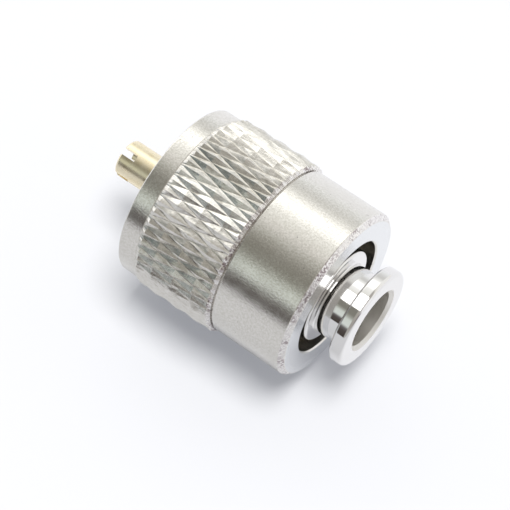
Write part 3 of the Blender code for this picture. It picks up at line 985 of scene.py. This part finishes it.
def mix_shaders(tree, share, first, second=None):
    """Mix two shaders by a share. A shader that is left out is black."""
    node = tree.nodes.new("ShaderNodeMixShader")
    for value, socket in zip((share, first, second), node.inputs):
        if value is not None:
            feed(tree, value, socket)
    return node.outputs["Shader"]


def near_side_painted_shade(tree):
    """Return the painted shade on the sheet's near side, as the share of brightness it takes."""
    across = tree.nodes.new("ShaderNodeVectorMath")
    across.operation = "DOT_PRODUCT"
    across.inputs[1].default_value = to_near_side
    feed(tree, object_coords(tree), across.inputs[0])
    return remap(tree, across.outputs["Value"], NEAR_SIDE_START, NEAR_SIDE_END,
                 0, NEAR_SIDE_PAINTED_SHADE)


def sheet_paper():
    """Make white paper that shows its front only."""
    material = bpy.data.materials.new("sheet_paper")
    material.use_nodes = True
    tree = material.node_tree
    tree.nodes.clear()
    ray = tree.nodes.new("ShaderNodeLightPath").outputs
    seen = calculate(tree, "MAXIMUM", ray["Is Camera Ray"], ray["Is Glossy Ray"])
    paper = tree.nodes.new("ShaderNodeBsdfDiffuse")
    feed(tree, tint(tree, seen, BOUNCE_SHADE, SEEN_SHADE), paper.inputs["Color"])
    glow = tree.nodes.new("ShaderNodeEmission")
    feed(tree, SHEET_GLOW, glow.inputs["Color"])
    feed(tree, seen, glow.inputs["Strength"])
    lit = tree.nodes.new("ShaderNodeAddShader")
    feed(tree, paper.outputs[0], lit.inputs[0])
    feed(tree, glow.outputs[0], lit.inputs[1])
    # Painted shade: in mirrors only, the near side of the paper is darkened.
    loss = calculate(tree, "MULTIPLY", near_side_painted_shade(tree), ray["Is Glossy Ray"])
    front = mix_shaders(tree, loss, lit.outputs[0])
    backfacing = tree.nodes.new("ShaderNodeNewGeometry").outputs["Backfacing"]
    from_behind = calculate(tree, "MULTIPLY", ray["Is Camera Ray"], backfacing)
    clear = tree.nodes.new("ShaderNodeBsdfTransparent").outputs[0]
    surface = tree.nodes.new("ShaderNodeOutputMaterial").inputs["Surface"]
    feed(tree, mix_shaders(tree, from_behind, front, clear), surface)
    return material


sheet_data.materials.append(sheet_paper())
print("finish", sheet_data.materials[0].name)

# %% [markdown]
# A lamp above the sheet, leaning a little to the tail's side, gives the plug its
# close, soft-edged shadow. Light linking keeps that lamp off the metal, which gets
# its light from the tent and from the paper.
# %% Light the sheet
SHEET_LAMP_LEAN = math.radians(8)


def light_only(lamp, thing):
    """Let a lamp light one object and nothing else."""
    lit = bpy.data.collections.new("lit_by_" + lamp.name)
    lit.objects.link(thing)
    lamp.light_linking.receiver_collection = lit


sheet_light = bpy.data.lights.new("sheet_light", "SUN")
sheet_light.energy = 4.9
sheet_light.angle = math.radians(27)
sheet_lamp = add_object("sheet_lamp", sheet_light)
to_sheet_lamp = sheet_normal + Vector((0, 0, -math.tan(SHEET_LAMP_LEAN)))
sheet_lamp.rotation_euler = to_sheet_lamp.to_track_quat("Z", "Y").to_euler()
light_only(sheet_lamp, white_sheet)
print("sheet lamp", round(math.degrees(sheet_light.angle)), "degrees wide")

# %% [markdown]
# The polished tail mirrors a second white bar near its middle, which the frosted
# nut doesn't show. One more linked lamp stands in for it.
# %% Light the tail
TAIL_LAMP_TURN = math.radians(18)
TAIL_LAMP_DISTANCE = 150 * MM
TAIL_LAMP_HEIGHT = 45 * MM

tail_light = bpy.data.lights.new("tail_light", "AREA")
tail_light.shape = "RECTANGLE"
tail_light.size = 90 * MM
tail_light.size_y = 260 * MM
tail_light.energy = 0.15
tail_lamp = add_object("tail_lamp", tail_light)
tail_lamp.location = (TAIL_LAMP_DISTANCE * math.sin(TAIL_LAMP_TURN),
                      -TAIL_LAMP_DISTANCE * math.cos(TAIL_LAMP_TURN), TAIL_LAMP_HEIGHT)
tail_lamp.rotation_euler = (math.pi / 2, 0, TAIL_LAMP_TURN)
tail_lamp.visible_camera = False
light_only(tail_lamp, turned_body)
print("tail lamp", round(tail_light.energy, 2), "W")

# %% [markdown]
# Shiny metal shows little but its surroundings, so the surroundings are the light.
# Such a plug is usually photographed in a tent of white cloth, with one long lamp
# beside it and an opening for the camera. Going round the plug's axis, that gives
# bands: the cloth, the lamp with a soft fall-off to each side, the dark opening, the
# paler cloth past it and a dark gap by the table. Each band here is an angle in
# degrees from the camera's side, and the colour that lies there. The ring of bands
# isn't the same at every height. The straight walls mirror the side ring, and
# slanted facets mirror the rings in front of it and behind it. The last ring closes
# the tent past the tail, where flat rear faces look.
# %% List the tent's bands
LAMP = (0.85, 0.84, 0.82)
CLOTH = (0.30, 0.30, 0.30)
FRONT_END = (0.60, 0.60, 0.60)
SIDE_BANDS = [
    (-180, CLOTH), (-122, (0.40, 0.41, 0.42)), (-112, (0.44, 0.45, 0.455)),
    (-98, (0.34, 0.34, 0.335)), (-91, (0.32, 0.32, 0.31)), (-80, (0.48, 0.48, 0.47)),
    (-71, (0.76, 0.76, 0.74)), (-60, (0.76, 0.76, 0.74)), (-52, (0.50, 0.50, 0.49)),
    (-40, (0.43, 0.43, 0.41)), (-27, (0.38, 0.37, 0.36)), (-19, (0.25, 0.25, 0.23)),
    (-8, (0.17, 0.165, 0.15)), (0, (0.110, 0.106, 0.093)), (15, (0.115, 0.113, 0.098)),
    (21, (0.19, 0.195, 0.175)), (27, (0.32, 0.34, 0.32)), (40, (0.34, 0.36, 0.345)),
    (46, (0.075, 0.07, 0.07)), (52, (0.042, 0.036, 0.034)), (66, (0.03, 0.025, 0.022)),
    (70, CLOTH), (180, CLOTH),
]
FRONT_BANDS = [
    (-180, CLOTH), (-115, (0.46, 0.46, 0.45)), (-86, (0.50, 0.50, 0.49)), (-74, LAMP),
    (-48, LAMP), (-40, (0.35, 0.35, 0.34)), (-28, (0.27, 0.27, 0.26)),
    (-10, (0.17, 0.175, 0.17)), (8, (0.07, 0.083, 0.086)), (36, (0.09, 0.106, 0.11)),
    (46, (0.17, 0.186, 0.19)), (64, (0.27, 0.292, 0.30)), (70, CLOTH), (180, CLOTH),
]
REAR_BANDS = [
    (-180, CLOTH), (-115, (0.44, 0.44, 0.43)), (-80, (0.46, 0.46, 0.45)),
    (-60, (0.42, 0.41, 0.39)), (-50, (0.22, 0.21, 0.20)), (-15, (0.22, 0.21, 0.195)),
    (10, (0.20, 0.19, 0.175)), (40, (0.19, 0.18, 0.17)), (64, (0.22, 0.22, 0.21)),
    (70, CLOTH), (180, CLOTH),
]
TAIL_END_BANDS = [
    (-180, CLOTH), (-70, (0.50, 0.50, 0.50)), (-8, (0.42, 0.42, 0.43)),
    (14, (0.12, 0.11, 0.11)), (44, (0.12, 0.11, 0.11)), (60, (0.24, 0.23, 0.23)),
    (180, CLOTH),
]
print("bands:", [len(bands) for bands in (SIDE_BANDS, FRONT_BANDS, REAR_BANDS, TAIL_END_BANDS)])

# %% [markdown]
# In the world's material the Generated coordinate is the direction of the ray. Its
# X and Y give the angle round the axis, which a colour ramp turns into a band. Its
# Z, from -1 at the tail's end to 1 at the pin's, tells how far to blend one ring
# into the next.
# %% Hang the tent
TENT_STRENGTH = 2.2
SIDE_TO_FRONT = (0.42, 0.54)
SIDE_TO_REAR = (0.14, 0.02)
TAIL_END_TO_FRONT_END = (-0.1, 0.1)
WALL_TO_END = (0.75, 0.9)


def band_ramp(tree, angle, bands):
    """Colour a ring of bands over an angle in radians."""
    ramp = tree.nodes.new("ShaderNodeValToRGB")
    stops = ramp.color_ramp.elements
    for degrees, colour in bands[1:-1]:
        stops.new((degrees + 180) / 360).color = (*colour, 1)
    stops[0].color = (*bands[0][1], 1)
    stops[-1].color = (*bands[-1][1], 1)
    feed(tree, remap(tree, angle, -math.pi, math.pi), ramp.inputs["Fac"])
    return ramp.outputs["Color"]


world = bpy.data.worlds.new("light_tent")
bpy.context.scene.world = world
world.use_nodes = True
tree = world.node_tree
tent = tree.nodes["Background"]
ray = tree.nodes.new("ShaderNodeSeparateXYZ")
feed(tree, tree.nodes.new("ShaderNodeTexCoord").outputs["Generated"], ray.inputs[0])
left, nearer = [calculate(tree, "MULTIPLY", ray.outputs[axis], -1) for axis in "XY"]
angle_round = calculate(tree, "ARCTAN2", left, nearer)
side, front, rear, tail_end = [band_ramp(tree, angle_round, bands) for bands in
                               (SIDE_BANDS, FRONT_BANDS, REAR_BANDS, TAIL_END_BANDS)]
ahead = ray.outputs["Z"]
walls = tint(tree, remap(tree, ahead, *SIDE_TO_FRONT), side, front)
walls = tint(tree, remap(tree, ahead, *SIDE_TO_REAR), walls, rear)
ends = tint(tree, remap(tree, ahead, *TAIL_END_TO_FRONT_END), tail_end, FRONT_END)
endward = calculate(tree, "ABSOLUTE", ahead)
closed_tent = tint(tree, remap(tree, endward, *WALL_TO_END), walls, ends)
feed(tree, closed_tent, tent.inputs["Color"])
feed(tree, TENT_STRENGTH, tent.inputs["Strength"])
print("tent of", len(tree.nodes), "nodes")

# %% [markdown]
# In a view past the sheet's edge the camera would see the tent's bands as stripes.
# A plain white backdrop takes their place for the camera alone. The Standard view
# shows each colour as it is written.
# %% Plain backdrop
backdrop = tree.nodes.new("ShaderNodeBackground")
feed(tree, (0.90, 0.92, 0.95), backdrop.inputs["Color"])
for_camera = tree.nodes.new("ShaderNodeLightPath").outputs["Is Camera Ray"]
surroundings = mix_shaders(tree, for_camera, tent.outputs[0], backdrop.outputs[0])
feed(tree, surroundings, tree.nodes["World Output"].inputs["Surface"])
bpy.context.scene.view_settings.view_transform = "Standard"
print("backdrop for the camera only")

# %% [markdown]
# The photograph was taken close up with a long lens, from the tail's side and a
# little behind the plug. The tilt is the angle between the view and the plug's
# axis, which the ellipses of the nut's edges give, and the roll is how far the
# axis leans in the picture. Blender gives the sensor's width and the lens in mm.
# %% Place the camera
CAMERA_TILT = math.radians(106.92)
CAMERA_ROLL = math.radians(-56.32)
CAMERA_DISTANCE = 215.7 * MM
PICTURE_SHIFT = Vector((-0.205, -1.116, 0)) * MM
AIM = Vector((0, 0, 14)) * MM

camera = add_object("camera", bpy.data.cameras.new("camera"))
camera.data.sensor_width = 36
camera.data.lens = 155.4
camera_turn = Matrix.Rotation(CAMERA_TILT, 3, "X") @ Matrix.Rotation(CAMERA_ROLL, 3, "Z")
camera.location = AIM + camera_turn @ (PICTURE_SHIFT + Vector((0, 0, CAMERA_DISTANCE)))
camera.rotation_euler = camera_turn.to_euler()
bpy.context.scene.camera = camera
print("camera at", [round(value, 3) for value in camera.location])
